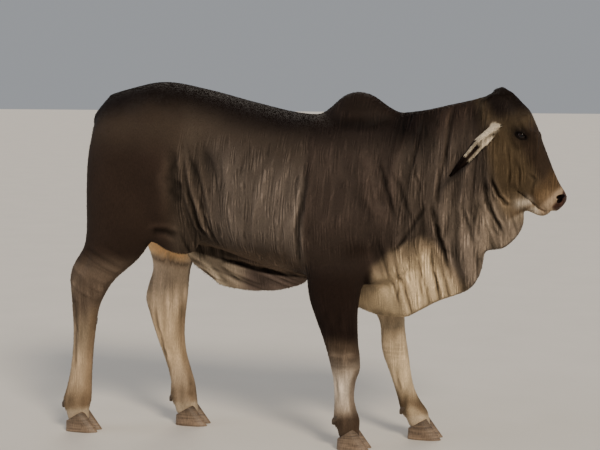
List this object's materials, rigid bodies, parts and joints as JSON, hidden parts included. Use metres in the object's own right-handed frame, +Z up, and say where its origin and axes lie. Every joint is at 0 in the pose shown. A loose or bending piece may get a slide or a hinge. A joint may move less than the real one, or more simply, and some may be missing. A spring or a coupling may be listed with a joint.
{
  "type": "brahman cattle model",
  "caption": "Life-size still model of a young polled brahman: humped, deep dewlap, hanging ears, dark grey-brown coat, standing in a short step.",
  "frame": {"origin": "on the ground plane under the middle of the whole animal's bounding box, soles at z = 0", "axes": "+X towards the head, +Y to the animal's left, +Z up"},
  "size_m": [1.972, 0.5427, 1.3882],
  "materials": {
    "dark_coat": "short dark grey-brown hair, satin",
    "flank_coat": "short grey-brown hair over wrinkled skin, satin",
    "pale_coat": "short grey-tan hair over loose skin, matte",
    "shank_coat": "short grey-tan hair with darker fronts, matte",
    "muzzle_coat": "very short tan hair, matte",
    "eye": "glossy dark brown eyeball",
    "hoof_horn": "brown-grey horn, satin",
    "switch_hair": "long coarse black-brown hair in locks"
  },
  "bodies": {
    "root": {"brisket": "pale_coat", "dewlap": "pale_coat", "ear_left": "dark_coat", "ear_right": "dark_coat", "eye_left": "eye", "eye_right": "eye", "head": "dark_coat", "hump": "dark_coat", "left_fore_cannon": "shank_coat", "left_fore_claw_left": "hoof_horn", "left_fore_claw_right": "hoof_horn", "left_fore_dewclaw_left": "hoof_horn", "left_fore_dewclaw_right": "hoof_horn", "left_fore_leg": "dark_coat", "left_hind_cannon": "shank_coat", "left_hind_claw_left": "hoof_horn", "left_hind_claw_right": "hoof_horn", "left_hind_dewclaw_left": "hoof_horn", "left_hind_dewclaw_right": "hoof_horn", "left_hind_leg": "dark_coat", "lower_jaw": "muzzle_coat", "neck": "flank_coat", "right_fore_cannon": "shank_coat", "right_fore_claw_left": "hoof_horn", "right_fore_claw_right": "hoof_horn", "right_fore_dewclaw_left": "hoof_horn", "right_fore_dewclaw_right": "hoof_horn", "right_fore_leg": "dark_coat", "right_hind_cannon": "shank_coat", "right_hind_claw_left": "hoof_horn", "right_hind_claw_right": "hoof_horn", "right_hind_dewclaw_left": "hoof_horn", "right_hind_dewclaw_right": "hoof_horn", "right_hind_leg": "dark_coat", "sheath": "pale_coat", "tail": "dark_coat", "tail_switch": "switch_hair", "torso": "flank_coat"}
  },
  "joints": []
}
